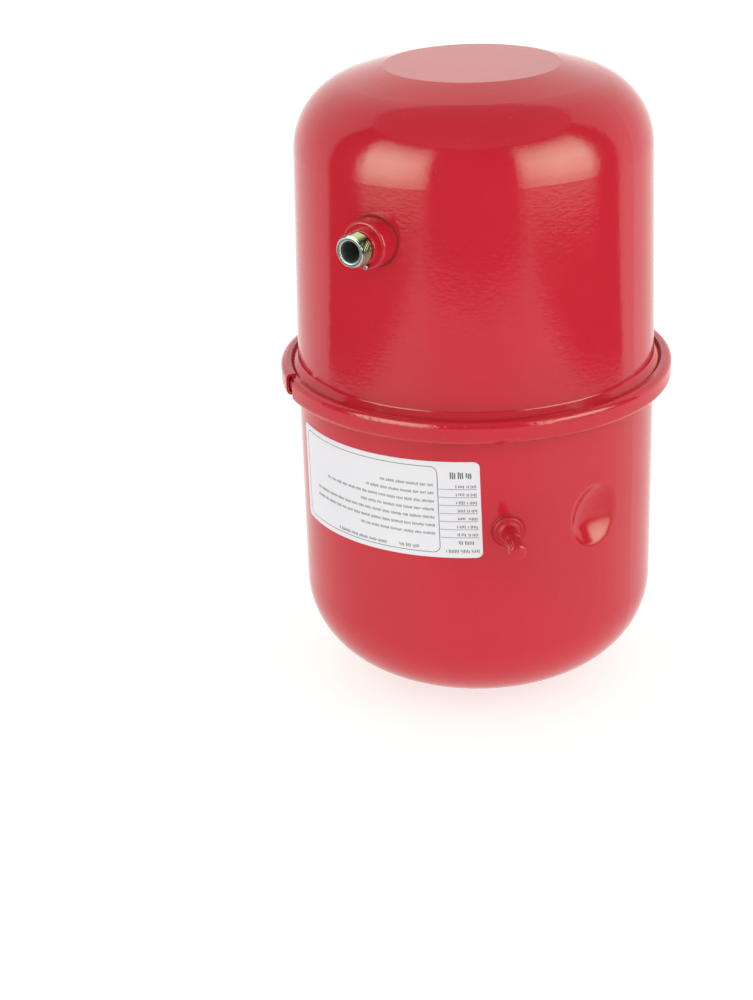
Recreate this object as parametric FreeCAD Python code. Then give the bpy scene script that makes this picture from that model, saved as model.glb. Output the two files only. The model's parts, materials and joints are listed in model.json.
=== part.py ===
"""Expansion vessel for a heating boiler, as an assembly of separate pieces.

Millimetres, +Z up.  The origin is the centre of the flat foot under the gas-side shell.
The water connection points along -Y.  Azimuths are degrees about Z, seen from above,
counted from -Y towards +X.
"""
import FreeCAD, Part
import math
import os

from FreeCAD import Vector

# --- Vessel body -------------------------------------------------------------
RING_Z = 179.2              # height of the joint between the two shells
WALL_R = 97.5               # outer radius of both shells beside the ring
SHEET = 1.2                 # steel sheet of both shells
SLIP_GAP = 0.02             # between pieces that are pressed, brazed or seated together
RUNNING_CLEARANCE = 0.06    # between pieces that slide or screw in each other
TOLERANCE = 1e-6

# Each head: height above the joint, radius of its flat, crown radius, knuckle
# radius, and the draft of its wall in degrees.
UPPER_HEAD = {"height": 165.1, "flat_r": 46.4, "crown_r": 213.9, "knuckle_r": 38.8, "draft": 1.34}
LOWER_HEAD = {"height": RING_Z, "flat_r": 33.8, "crown_r": 163.1, "knuckle_r": 47.3, "draft": 0.0}

# Rim of both shells: the wall flares out and then bends into a flat flange.
FLARE_START = 8.4           # height of the flare's start above the joint
FLARE_ANGLE = 42.0          # flare, from the wall's direction
FLARE_KNEE_R = 1.2          # bend between wall and flare
RIM_BEND_R = 0.8            # bend between flare and flange
FLANGE_TOP = 4.5            # outer face of the flange above the joint
FLANGE_R = 104.0

# --- Clench ring -------------------------------------------------------------
RING_R = 107.1
RING_HALF_HEIGHT = 6.03
RING_SHEET = 1.5
RING_SHOULDER_R = 3.0
RING_LIP_R = 101.6          # inner edge of both lips
RING_GAP_AZIMUTH = -38.1
RING_GAP_ANGLE = 6.0

# --- Diaphragm ---------------------------------------------------------------
MEMBRANE = 2.0
MEMBRANE_CLEARANCE = 0.3    # between the membrane and the water-side shell
BEAD_IN_R = 98.6
BEAD_OUT_R = 105.2
BEAD_HALF_HEIGHT = 3.25
BEAD_CORNER_R = 1.2

# --- Dimple in the gas-side shell ---------------------------------------------
DIMPLE_AZIMUTH = 70.7
DIMPLE_Z = 120.0
DIMPLE_BALL_R = 30.0
DIMPLE_DEPTH = 5.5
DIMPLE_RIM_R = 4.5          # rounding of the dimple's rim

# --- Water connection ----------------------------------------------------------
NOZZLE_Z = 274.3
BOSS_R = 12.5
BOSS_FRONT = 105.7          # distances along the connection are from the vessel's axis
BOSS_EDGE_R = 1.3
COLLAR_R = 9.0
COLLAR_FRONT = 109.0
COLLAR_EDGE_R = 0.6
SPIGOT_R = 7.9              # passes through the shell
NIPPLE_SHANK_R = 6.98
THREAD_R = 8.33             # G3/8 major radius
THREAD_START = 110.2
THREAD_RELIEF_R = 7.4
THREAD_RUNOUT = 0.5
NOZZLE_END = 117.8
NOZZLE_CHAMFER = 0.9
NOZZLE_BORE_R = 5.6
BORE_CHAMFER = 0.5
PIN_R = 1.25                # locating pin in the boss's face
PIN_X = 2.6
PIN_DROP = 10.0             # below the connection's axis
PIN_DEPTH = 3.0
PIN_PROUD = 2.9
PIN_TIP_R = 0.35
WELD_WIDTH = 1.1
WELD_HEIGHT = 0.9

# --- Inflation valve -----------------------------------------------------------
# Lengths along the valve are from the gas-side wall's outer surface.
VALVE_AZIMUTH = 40.7
VALVE_Z = 121.0
VALVE_FLANGE_R = 8.2
VALVE_FLANGE_TOP = 2.5
VALVE_FLANGE_BEVEL = 0.9    # bevel of the flange's front edge
VALVE_SPIGOT_R = 4.0
VALVE_SPIGOT_END = -3.2
NECK_R = 4.2
NECK_END = 12.2
NECK_FILLET = 1.6           # slope between flange and neck
VALVE_THREAD_R = 3.87       # 8V1 tank valve thread
VALVE_THREAD_START = 13.4
VALVE_RELIEF_R = 3.4
VALVE_RUNOUT = 0.4
STEM_END = 26.0
STEM_CHAMFER = 0.5
CORE_THREAD_R = 2.65
CORE_SEAT_TOP = 17.8
CORE_SEAT_BOTTOM = 16.4
CORE_BORE_R = 1.95
CORE_STOP = 6.0
GAS_BORE_R = 1.4

# --- Valve core ------------------------------------------------------------------
CORE_PIN_R = 0.6
CORE_PIN_TIP = 25.6
CORE_PIN_CHAMFER = 0.2
CORE_PIN_FOOT = 7.2
PIN_COLLAR_R = 1.1
PIN_COLLAR_BOTTOM = 18.4
PIN_COLLAR_TOP = 19.2
PLUG_BOTTOM = 21.0
PLUG_TOP = 24.6
PLUG_CHAMFER = 0.3
PLUG_SLOT_WIDTH = 1.0
PLUG_SLOT_DEPTH = 1.6
BARREL_BOTTOM = 10.2
BARREL_TOP = 20.95
BARREL_R = 1.75
BARREL_COLLAR_R = 2.35
BARREL_COLLAR_BOTTOM = 19.4
BARREL_BORE_R = 1.35
BARREL_FLOOR = 1.4
POPPET_R = 1.55
POPPET_CUP_R = 1.35
POPPET_BOTTOM = 7.6
POPPET_FLOOR = 0.9
POPPET_RIM = 9.8
SEAL_LIFT = 0.05            # gap between the seal and the barrel's rim
SPRING_WIRE_R = 0.14
SPRING_MEAN_R = 0.98
SPRING_TURNS = 8.0

# --- Dust cap ----------------------------------------------------------------------
CAP_R = 4.4
CAP_COLLAR_R = 4.85
CAP_COLLAR_END = 15.2
CAP_COLLAR_EDGE_R = 0.35
CAP_MOUTH = 12.9
CAP_END = 28.3
CAP_EDGE_R = 0.8
CAP_BORE_R = VALVE_THREAD_R + RUNNING_CLEARANCE
CAP_POCKET_R = 3.3
CAP_POCKET_START = 26.5
CAP_POCKET_END = 27.3
CAP_PIP_R = 0.9
CAP_PIP_HEIGHT = 0.35
CAP_SEAL_R = 3.2
CAP_SEAL_GAP = 0.1

# --- Rating label ---------------------------------------------------------------------
LABEL_AZIMUTH = -3.7
LABEL_HALF_ANGLE = 36.2
LABEL_Z = 131.95
LABEL_HEIGHT = 54.5
LABEL_TILT = 1.3
LABEL_CORNER_R = 3.0
LABEL_GAP = 0.02
LABEL_THICKNESS = 0.18


# --- Helpers -----------------------------------------------------------------------------
def direction(azimuth):
    """Horizontal unit vector at an azimuth."""
    angle = math.radians(azimuth)
    return Vector(math.sin(angle), -math.cos(angle), 0)


def polar(centre, radius, degrees):
    """Point (r, z) on a circle in the half-plane of a revolved outline."""
    angle = math.radians(degrees)
    return (centre[0] + radius * math.cos(angle), centre[1] + radius * math.sin(angle))


def spot(point):
    """A point (r, z) of an outline as a vector in the XZ plane."""
    return Vector(point[0], 0, point[1])


def line(start, end):
    return Part.LineSegment(spot(start), spot(end)).toShape()


def arc(centre, radius, start_degrees, end_degrees):
    """Arc of a circle in the XZ plane, from one angle to another."""
    middle = 0.5 * (start_degrees + end_degrees)
    points = [spot(polar(centre, radius, degrees)) for degrees in (start_degrees, middle, end_degrees)]
    return Part.Arc(*points).toShape()


def revolve(edges, angle=360.0):
    """Solid of revolution about Z of a closed outline in the XZ plane."""
    face = Part.Face(Part.Wire(edges))
    return face.revolve(Vector(0, 0, 0), Vector(0, 0, 1), angle)


def turned(points):
    """Turned piece: its outline is (radius, length) points, joined by straight lines."""
    closed = list(points) + [points[0]]
    return revolve([line(a, b) for a, b in zip(closed, closed[1:])])


def along(shape, azimuth, radius, height):
    """Stand a turned piece on a horizontal axis, its zero at a radius from the vessel's axis."""
    away = direction(azimuth)
    turn = FreeCAD.Rotation(Vector(0, 0, 1), away)
    shape.Placement = FreeCAD.Placement(away * radius + Vector(0, 0, height), turn)
    return shape


def rod(azimuth, height, radius, start, end):
    """Cylinder on a horizontal axis between two distances from the vessel's axis."""
    away = direction(azimuth)
    return Part.makeCylinder(radius, end - start, away * start + Vector(0, 0, height), away)


def rounded_front(shape, radius, edge_radius, front):
    """Round the outer edge of a turned piece at one of its front faces."""
    edges = [
        edge for edge in shape.Edges
        if isinstance(edge.Curve, Part.Circle)
        and abs(edge.Curve.Radius - radius) < TOLERANCE
        and abs(edge.Curve.Center.z - front) < TOLERANCE
    ]
    return shape.makeFillet(edge_radius, edges)


# --- Shells ---------------------------------------------------------------------------------
def head_surface(head, inset):
    """Edges of one head's surface, from its flange's edge to the axis.

    inset 0 is the outer surface and inset SHEET the inner one.  Heights are from the joint.
    """
    draft = head["draft"]
    tilt = math.radians(draft)
    flare = math.radians(FLARE_ANGLE)
    crown_z = head["height"] - math.sqrt(head["crown_r"] ** 2 - head["flat_r"] ** 2)

    # The wall is the line r cos(tilt) + z sin(tilt) = wall_offset.
    wall_offset = WALL_R * math.cos(tilt) + FLARE_START * math.sin(tilt)
    reach = head["crown_r"] - head["knuckle_r"]
    lean = math.asin((wall_offset - head["knuckle_r"] - crown_z * math.sin(tilt)) / reach) - tilt
    knuckle = (reach * math.sin(lean), crown_z + reach * math.cos(lean))

    # Rim bend: tangent to the flange's face and to the flare.
    bend_z = FLANGE_TOP + RIM_BEND_R
    bend_r = WALL_R + (RIM_BEND_R - (bend_z - FLARE_START) * math.sin(flare)) / math.cos(flare)
    bend = (bend_r, bend_z)

    # Knee: tangent to the flare and to the wall, outside both.
    half = 0.5 * (flare - tilt)
    knee_reach = FLARE_KNEE_R / math.cos(half)
    knee = polar((WALL_R, FLARE_START), knee_reach, 0.5 * (FLARE_ANGLE + draft))

    bend_start, flare_side, wall_side = 270.0, 180.0 + FLARE_ANGLE, 180.0 + draft
    crown_radius = head["crown_r"] - inset
    top = head["height"] - inset
    flat_angle = math.degrees(math.asin((top - crown_z) / crown_radius))
    knuckle_end = 90.0 - math.degrees(lean)

    bend_radius = RIM_BEND_R + inset
    knee_radius = FLARE_KNEE_R + inset
    knuckle_radius = head["knuckle_r"] - inset
    crown = (0.0, crown_z)
    flat_edge = polar(crown, crown_radius, flat_angle)
    return [
        line((FLANGE_R, FLANGE_TOP - inset), polar(bend, bend_radius, bend_start)),
        arc(bend, bend_radius, bend_start, flare_side),
        line(polar(bend, bend_radius, flare_side), polar(knee, knee_radius, flare_side)),
        arc(knee, knee_radius, flare_side, wall_side),
        line(polar(knee, knee_radius, wall_side), polar(knuckle, knuckle_radius, draft)),
        arc(knuckle, knuckle_radius, draft, knuckle_end),
        arc(crown, crown_radius, knuckle_end, flat_angle),
        line(flat_edge, (0.0, top)),
    ]


def head_sheet(head):
    """One head as pressed sheet, open at the joint."""
    outer = head_surface(head, 0.0)
    inner = head_surface(head, SHEET)
    rim = line((FLANGE_R, FLANGE_TOP), (FLANGE_R, FLANGE_TOP - SHEET))
    pole = line((0.0, head["height"]), (0.0, head["height"] - SHEET))
    return revolve(outer + [rim, pole] + inner)


def head_filled(head, inset):
    """The space inside one head's surface, down to its flange."""
    low = FLANGE_TOP - inset
    edges = head_surface(head, inset)
    edges.append(line((FLANGE_R, low), (0.0, low)))
    edges.append(line((0.0, low), (0.0, head["height"] - inset)))
    return revolve(edges)


def raise_to_joint(shape):
    shape.translate(Vector(0, 0, RING_Z))
    return shape


def hang_from_joint(shape):
    flipped = shape.mirror(Vector(0, 0, 0), Vector(0, 0, 1))
    flipped.translate(Vector(0, 0, RING_Z))
    return flipped


def make_upper_shell():
    shell = raise_to_joint(head_sheet(UPPER_HEAD))
    return shell.cut(rod(0.0, NOZZLE_Z, SPIGOT_R + RUNNING_CLEARANCE, 0.0, BOSS_FRONT))


def dimple_ball(radius):
    centre = direction(DIMPLE_AZIMUTH) * (WALL_R - DIMPLE_DEPTH + DIMPLE_BALL_R)
    return Part.makeSphere(radius, centre + Vector(0, 0, DIMPLE_Z))


def is_dimple_rim(edge):
    """The closed curve where the dimple meets the wall's outer surface."""
    centre = direction(DIMPLE_AZIMUTH) * (WALL_R - DIMPLE_DEPTH + DIMPLE_BALL_R) + Vector(0, 0, DIMPLE_Z)
    points = edge.discretize(5)
    on_ball = all(abs(point.distanceToPoint(centre) - DIMPLE_BALL_R) < 1e-3 for point in points)
    on_wall = all(abs(math.hypot(point.x, point.y) - WALL_R) < 1e-3 for point in points)
    return on_ball and on_wall


def make_lower_shell():
    shell = hang_from_joint(head_sheet(LOWER_HEAD))
    inside = hang_from_joint(head_filled(LOWER_HEAD, SHEET))
    pressed = inside.common(dimple_ball(DIMPLE_BALL_R + SHEET))
    shell = shell.fuse(pressed).cut(dimple_ball(DIMPLE_BALL_R))
    rim = [edge for edge in shell.Edges if is_dimple_rim(edge)]
    shell = shell.makeFillet(DIMPLE_RIM_R, rim)
    hole = rod(VALVE_AZIMUTH, VALVE_Z, VALVE_SPIGOT_R + RUNNING_CLEARANCE, 0.0, RING_R)
    return shell.cut(hole)


def make_clench_ring():
    out_r, lip_r, half = RING_R, RING_LIP_R, RING_HALF_HEIGHT
    bend_r = out_r - RING_SHOULDER_R
    bend_z = half - RING_SHOULDER_R
    in_shoulder = RING_SHOULDER_R - RING_SHEET
    in_half = half - RING_SHEET
    edges = [
        line((lip_r, half), (bend_r, half)),
        arc((bend_r, bend_z), RING_SHOULDER_R, 90.0, 0.0),
        line((out_r, bend_z), (out_r, -bend_z)),
        arc((bend_r, -bend_z), RING_SHOULDER_R, 0.0, -90.0),
        line((bend_r, -half), (lip_r, -half)),
        line((lip_r, -half), (lip_r, -in_half)),
        line((lip_r, -in_half), (bend_r, -in_half)),
        arc((bend_r, -bend_z), in_shoulder, -90.0, 0.0),
        line((out_r - RING_SHEET, -bend_z), (out_r - RING_SHEET, bend_z)),
        arc((bend_r, bend_z), in_shoulder, 0.0, 90.0),
        line((bend_r, in_half), (lip_r, in_half)),
        line((lip_r, in_half), (lip_r, half)),
    ]
    ring = revolve(edges, 360.0 - RING_GAP_ANGLE)
    # The outline stands at azimuth 90, and the revolution goes on from there.
    start = RING_GAP_AZIMUTH + 0.5 * RING_GAP_ANGLE - 90.0
    ring.rotate(Vector(0, 0, 0), Vector(0, 0, 1), start)
    return raise_to_joint(ring)


def make_diaphragm():
    """Moulded membrane, lying along the water-side shell, with its bead in the joint."""
    outer_inset = SHEET + MEMBRANE_CLEARANCE
    outside = head_filled(UPPER_HEAD, outer_inset)
    inside = head_filled(UPPER_HEAD, outer_inset + MEMBRANE)
    membrane = outside.cut(inside)
    membrane = membrane.common(Part.makeCylinder(BEAD_IN_R, UPPER_HEAD["height"]))

    low, high, corner = -BEAD_HALF_HEIGHT, BEAD_HALF_HEIGHT, BEAD_CORNER_R
    left, right = BEAD_IN_R - MEMBRANE, BEAD_OUT_R
    bead = revolve([
        line((left, low), (right - corner, low)),
        arc((right - corner, low + corner), corner, -90.0, 0.0),
        line((right, low + corner), (right, high - corner)),
        arc((right - corner, high - corner), corner, 0.0, 90.0),
        line((right - corner, high), (left, high)),
        line((left, high), (left, low)),
    ])
    return raise_to_joint(membrane.fuse(bead).removeSplitter())


# --- Water connection ----------------------------------------------------------------------------
def make_water_boss():
    boss = turned([
        (0.0, 0.0), (BOSS_R, 0.0), (BOSS_R, BOSS_FRONT), (COLLAR_R, BOSS_FRONT),
        (COLLAR_R, COLLAR_FRONT), (0.0, COLLAR_FRONT),
    ])
    boss = rounded_front(boss, BOSS_R, BOSS_EDGE_R, BOSS_FRONT)
    boss = rounded_front(boss, COLLAR_R, COLLAR_EDGE_R, COLLAR_FRONT)
    boss = along(boss, 0.0, 0.0, NOZZLE_Z)

    body = raise_to_joint(head_filled(UPPER_HEAD, 0.0))
    inside = raise_to_joint(head_filled(UPPER_HEAD, SHEET))
    spigot = rod(0.0, NOZZLE_Z, SPIGOT_R, 0.0, COLLAR_FRONT)
    boss = boss.cut(body).fuse(boss.common(spigot).cut(inside)).removeSplitter()
    bore = rod(0.0, NOZZLE_Z, NIPPLE_SHANK_R + SLIP_GAP, 0.0, NOZZLE_END)
    pin_hole = locating_rod(BOSS_FRONT - PIN_DEPTH, BOSS_FRONT)
    return boss.cut(bore).cut(pin_hole)


def locating_rod(start, end):
    base = Vector(PIN_X, -start, NOZZLE_Z - PIN_DROP)
    return Part.makeCylinder(PIN_R, end - start, base, Vector(0, -1, 0))


def make_locating_pin():
    pin = locating_rod(BOSS_FRONT - PIN_DEPTH, BOSS_FRONT + PIN_PROUD)
    end_y = -(BOSS_FRONT + PIN_PROUD)
    tip = [edge for edge in pin.Edges if abs(edge.CenterOfMass.y - end_y) < TOLERANCE]
    return pin.makeFillet(PIN_TIP_R, tip)


def make_water_nozzle():
    nozzle = turned([
        (NOZZLE_BORE_R, 0.0), (NIPPLE_SHANK_R, 0.0), (NIPPLE_SHANK_R, COLLAR_FRONT),
        (THREAD_RELIEF_R, COLLAR_FRONT), (THREAD_RELIEF_R, THREAD_START - THREAD_RUNOUT),
        (THREAD_R, THREAD_START), (THREAD_R, NOZZLE_END - NOZZLE_CHAMFER),
        (THREAD_R - NOZZLE_CHAMFER, NOZZLE_END), (NOZZLE_BORE_R + BORE_CHAMFER, NOZZLE_END),
        (NOZZLE_BORE_R, NOZZLE_END - BORE_CHAMFER),
    ])
    nozzle = along(nozzle, 0.0, 0.0, NOZZLE_Z)
    inside = raise_to_joint(head_filled(UPPER_HEAD, SHEET))
    return nozzle.cut(inside)


def weld_ring(body, skin, azimuth, height, radius):
    """Weld metal around a round piece on the shell: a thin raised ring that follows the wall."""
    outer = rod(azimuth, height, radius + WELD_WIDTH, 0.0, BOSS_FRONT)
    hole = rod(azimuth, height, radius, 0.0, BOSS_FRONT)
    return outer.cut(hole).common(skin).cut(body)


def make_boss_weld():
    body = raise_to_joint(head_filled(UPPER_HEAD, 0.0))
    skin = raise_to_joint(head_filled(UPPER_HEAD, -WELD_HEIGHT))
    return weld_ring(body, skin, 0.0, NOZZLE_Z, BOSS_R)


# --- Inflation valve --------------------------------------------------------------------------------
def on_valve(points):
    return along(turned(points), VALVE_AZIMUTH, WALL_R, VALVE_Z)


def make_valve_stem():
    stem = on_valve([
        (GAS_BORE_R, VALVE_SPIGOT_END), (VALVE_FLANGE_R, VALVE_SPIGOT_END),
        (VALVE_FLANGE_R, VALVE_FLANGE_TOP - VALVE_FLANGE_BEVEL),
        (VALVE_FLANGE_R - VALVE_FLANGE_BEVEL, VALVE_FLANGE_TOP),
        (NECK_R + NECK_FILLET, VALVE_FLANGE_TOP), (NECK_R, VALVE_FLANGE_TOP + NECK_FILLET),
        (NECK_R, NECK_END), (VALVE_RELIEF_R, NECK_END),
        (VALVE_RELIEF_R, VALVE_THREAD_START - VALVE_RUNOUT),
        (VALVE_THREAD_R, VALVE_THREAD_START), (VALVE_THREAD_R, STEM_END - STEM_CHAMFER),
        (VALVE_THREAD_R - STEM_CHAMFER, STEM_END), (CORE_THREAD_R, STEM_END),
        (CORE_THREAD_R, CORE_SEAT_TOP), (CORE_BORE_R, CORE_SEAT_BOTTOM),
        (CORE_BORE_R, CORE_STOP), (GAS_BORE_R, CORE_STOP),
    ])
    spigot = on_valve([
        (GAS_BORE_R, VALVE_SPIGOT_END), (VALVE_SPIGOT_R, VALVE_SPIGOT_END),
        (VALVE_SPIGOT_R, VALVE_FLANGE_TOP), (GAS_BORE_R, VALVE_FLANGE_TOP),
    ])
    body = Part.makeCylinder(WALL_R, RING_Z)
    return stem.cut(body).fuse(spigot).removeSplitter()


def make_valve_weld():
    body = Part.makeCylinder(WALL_R, RING_Z)
    skin = Part.makeCylinder(WALL_R + WELD_HEIGHT, RING_Z)
    return weld_ring(body, skin, VALVE_AZIMUTH, VALVE_Z, VALVE_FLANGE_R)


def make_core_plug():
    hole = CORE_PIN_R + RUNNING_CLEARANCE
    out_r = CORE_THREAD_R - RUNNING_CLEARANCE
    plug = turned([
        (hole, PLUG_BOTTOM), (out_r, PLUG_BOTTOM), (out_r, PLUG_TOP - PLUG_CHAMFER),
        (out_r - PLUG_CHAMFER, PLUG_TOP), (hole, PLUG_TOP),
    ])
    slot = Part.makeBox(2 * CORE_THREAD_R, PLUG_SLOT_WIDTH, PLUG_SLOT_DEPTH)
    slot.translate(Vector(-CORE_THREAD_R, -0.5 * PLUG_SLOT_WIDTH, PLUG_TOP - PLUG_SLOT_DEPTH))
    return along(plug.cut(slot), VALVE_AZIMUTH, WALL_R, VALVE_Z)


def make_core_barrel():
    hole = CORE_PIN_R + RUNNING_CLEARANCE
    floor = BARREL_BOTTOM + BARREL_FLOOR
    return on_valve([
        (hole, BARREL_BOTTOM), (BARREL_R, BARREL_BOTTOM), (BARREL_R, BARREL_COLLAR_BOTTOM),
        (BARREL_COLLAR_R, BARREL_COLLAR_BOTTOM), (BARREL_COLLAR_R, BARREL_TOP),
        (BARREL_BORE_R, BARREL_TOP), (BARREL_BORE_R, floor), (hole, floor),
    ])


def make_core_barrel_seal():
    inner = BARREL_R + SLIP_GAP
    outer = CORE_THREAD_R - SLIP_GAP
    low = CORE_SEAT_BOTTOM + SLIP_GAP
    high = BARREL_COLLAR_BOTTOM - SLIP_GAP
    return on_valve([
        (inner, low), (CORE_BORE_R, low), (outer, CORE_SEAT_TOP), (outer, high), (inner, high),
    ])


def make_core_pin():
    return on_valve([
        (0.0, CORE_PIN_FOOT), (CORE_PIN_R, CORE_PIN_FOOT), (CORE_PIN_R, PIN_COLLAR_BOTTOM),
        (PIN_COLLAR_R, PIN_COLLAR_BOTTOM), (PIN_COLLAR_R, PIN_COLLAR_TOP),
        (CORE_PIN_R, PIN_COLLAR_TOP), (CORE_PIN_R, CORE_PIN_TIP - CORE_PIN_CHAMFER),
        (CORE_PIN_R - CORE_PIN_CHAMFER, CORE_PIN_TIP), (0.0, CORE_PIN_TIP),
    ])


def make_core_poppet():
    hole = CORE_PIN_R + SLIP_GAP
    floor = POPPET_BOTTOM + POPPET_FLOOR
    return on_valve([
        (hole, POPPET_BOTTOM), (POPPET_R, POPPET_BOTTOM), (POPPET_R, POPPET_RIM),
        (POPPET_CUP_R, POPPET_RIM), (POPPET_CUP_R, floor), (hole, floor),
    ])


def make_core_poppet_seal():
    low = POPPET_BOTTOM + POPPET_FLOOR + SLIP_GAP
    high = BARREL_BOTTOM - SEAL_LIFT
    inner = CORE_PIN_R + SLIP_GAP
    outer = POPPET_CUP_R - SLIP_GAP
    return on_valve([(inner, low), (outer, low), (outer, high), (inner, high)])


def make_core_spring():
    low = BARREL_BOTTOM + BARREL_FLOOR + SPRING_WIRE_R + SLIP_GAP
    high = PIN_COLLAR_BOTTOM - SPRING_WIRE_R - SLIP_GAP
    helix = Part.makeHelix((high - low) / SPRING_TURNS, high - low, SPRING_MEAN_R)
    section = Part.makeCircle(SPRING_WIRE_R, Vector(SPRING_MEAN_R, 0, 0), Vector(0, 1, 0))
    spring = Part.Wire(helix).makePipeShell([Part.Wire(section)], True, True)
    return along(spring, VALVE_AZIMUTH, WALL_R + low, VALVE_Z)


# --- Dust cap --------------------------------------------------------------------------------------------
def make_valve_cap():
    cap = turned([
        (CAP_BORE_R, CAP_MOUTH), (CAP_COLLAR_R, CAP_MOUTH), (CAP_COLLAR_R, CAP_COLLAR_END),
        (CAP_R, CAP_COLLAR_END), (CAP_R, CAP_END), (CAP_PIP_R, CAP_END),
        (CAP_PIP_R, CAP_END + CAP_PIP_HEIGHT), (0.0, CAP_END + CAP_PIP_HEIGHT),
        (0.0, CAP_POCKET_END), (CAP_POCKET_R, CAP_POCKET_END), (CAP_POCKET_R, CAP_POCKET_START),
        (CAP_BORE_R, CAP_POCKET_START),
    ])
    cap = rounded_front(cap, CAP_R, CAP_EDGE_R, CAP_END)
    cap = rounded_front(cap, CAP_COLLAR_R, CAP_COLLAR_EDGE_R, CAP_COLLAR_END)
    return along(cap, VALVE_AZIMUTH, WALL_R, VALVE_Z)


def make_valve_cap_seal():
    low = STEM_END + CAP_SEAL_GAP
    high = CAP_POCKET_END - CAP_SEAL_GAP
    return on_valve([(0.0, low), (CAP_SEAL_R, low), (CAP_SEAL_R, high), (0.0, high)])


# --- Rating label --------------------------------------------------------------------------------------------
def make_rating_label():
    """Sticker wrapped on the gas-side wall, a little out of level."""
    inner_r = WALL_R + LABEL_GAP
    skin = Part.makeCylinder(inner_r + LABEL_THICKNESS, RING_Z)
    skin = skin.cut(Part.makeCylinder(inner_r, RING_Z))
    half_width = inner_r * math.sin(math.radians(LABEL_HALF_ANGLE))
    block = Part.makeBox(2 * half_width, RING_R, LABEL_HEIGHT)
    block.translate(Vector(-half_width, -RING_R, -0.5 * LABEL_HEIGHT))
    across = [edge for edge in block.Edges if abs(edge.tangentAt(0.0).y) > 1.0 - TOLERANCE]
    block = block.makeFillet(LABEL_CORNER_R, across)
    block.rotate(Vector(0, 0, 0), Vector(0, 1, 0), -LABEL_TILT)
    block.rotate(Vector(0, 0, 0), Vector(0, 0, 1), LABEL_AZIMUTH)
    block.translate(Vector(0, 0, LABEL_Z))
    return skin.common(block)


PIECES = {
    "upper_shell": make_upper_shell,
    "lower_shell": make_lower_shell,
    "clench_ring": make_clench_ring,
    "diaphragm": make_diaphragm,
    "water_boss": make_water_boss,
    "boss_weld": make_boss_weld,
    "water_nozzle": make_water_nozzle,
    "locating_pin": make_locating_pin,
    "valve_stem": make_valve_stem,
    "valve_weld": make_valve_weld,
    "core_plug": make_core_plug,
    "core_barrel": make_core_barrel,
    "core_barrel_seal": make_core_barrel_seal,
    "core_pin": make_core_pin,
    "core_spring": make_core_spring,
    "core_poppet": make_core_poppet,
    "core_poppet_seal": make_core_poppet_seal,
    "valve_cap": make_valve_cap,
    "valve_cap_seal": make_valve_cap_seal,
    "rating_label": make_rating_label,
}

os.makedirs("parts", exist_ok=True)
for name, make in PIECES.items():
    piece = make()
    solids = piece.Solids
    box = piece.BoundBox
    print(
        f"{name:18s} solids {len(solids)} valid {piece.isValid()} volume {piece.Volume:11.2f} mm3,",
        f"{box.XLength:.1f} x {box.YLength:.1f} x {box.ZLength:.1f} mm",
    )
    solids[0].exportStep(f"parts/{name}.step")
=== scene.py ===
"""Looks of the expansion vessel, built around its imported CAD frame.

Metres, +Z up.  The origin is the centre of the vessel's foot, and the water connection
points along -Y.  Azimuths are degrees about Z, counted from -Y towards +X.
Outlines of turned pieces and the label's print are given in millimetres.
"""

import json
import math
import random

import bmesh
import bpy
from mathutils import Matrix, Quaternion, Vector


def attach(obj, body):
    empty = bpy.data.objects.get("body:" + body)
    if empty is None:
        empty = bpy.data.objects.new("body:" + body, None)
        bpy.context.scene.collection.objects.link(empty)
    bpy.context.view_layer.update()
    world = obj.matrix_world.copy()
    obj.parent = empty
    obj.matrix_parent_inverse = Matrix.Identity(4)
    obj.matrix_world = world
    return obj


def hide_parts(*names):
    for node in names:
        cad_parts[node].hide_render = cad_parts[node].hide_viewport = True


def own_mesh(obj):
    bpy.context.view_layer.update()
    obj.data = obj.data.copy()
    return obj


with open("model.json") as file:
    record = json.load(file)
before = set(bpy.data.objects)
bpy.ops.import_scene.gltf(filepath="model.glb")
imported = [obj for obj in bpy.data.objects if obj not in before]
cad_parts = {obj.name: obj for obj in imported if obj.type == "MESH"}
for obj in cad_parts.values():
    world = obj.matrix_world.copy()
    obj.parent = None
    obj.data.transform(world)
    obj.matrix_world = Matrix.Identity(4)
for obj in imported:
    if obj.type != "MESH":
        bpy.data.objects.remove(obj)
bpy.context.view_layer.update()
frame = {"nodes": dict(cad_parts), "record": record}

MM = 0.001

# --- The vessel's sizes, as in the CAD model, in millimetres --------------------------
RING_Z = 179.2
WALL_R = 97.5
FLARE_START = 8.4               # height of the wall's lower end above the joint
UPPER_DRAFT = math.radians(1.34)
UPPER_HEIGHT = 165.1
UPPER_CROWN_R = 213.9
UPPER_KNUCKLE_R = 38.8
UPPER_FLAT_R = 46.4
NOZZLE_Z = 274.3
NOZZLE_END = 117.8
NOZZLE_BORE_R = 5.6
BOSS_R = 12.5
VALVE_AZIMUTH = 40.7
VALVE_Z = 121.0
VALVE_FLANGE_R = 8.2
WELD_WIDTH = 1.1
WELD_HEIGHT = 0.9
MEMBRANE_INSET = 1.5            # from the shell's outer surface to the membrane
MEMBRANE_THICKNESS = 2.0
BEAD_IN_R = 96.6
BEAD_OUT_R = 105.2
BEAD_HALF_HEIGHT = 3.25
# The membrane's outer surface from its bead to the wall, as (radius, height over the joint).
MEMBRANE_FOOT = ((98.5, BEAD_HALF_HEIGHT), (98.4, 4.8), (96.3, 7.3), (95.95, 9.0))
SPRING_LOW = 11.76              # the end coils' middles along the valve
SPRING_HIGH = 18.24
SPRING_R = 0.98
SPRING_WIRE_R = 0.14
SPRING_TURNS = 8.0
LABEL_AZIMUTH = -3.7
LABEL_Z = 131.95
LABEL_TILT = math.radians(1.3)
LABEL_FACE_R = 97.7

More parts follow.
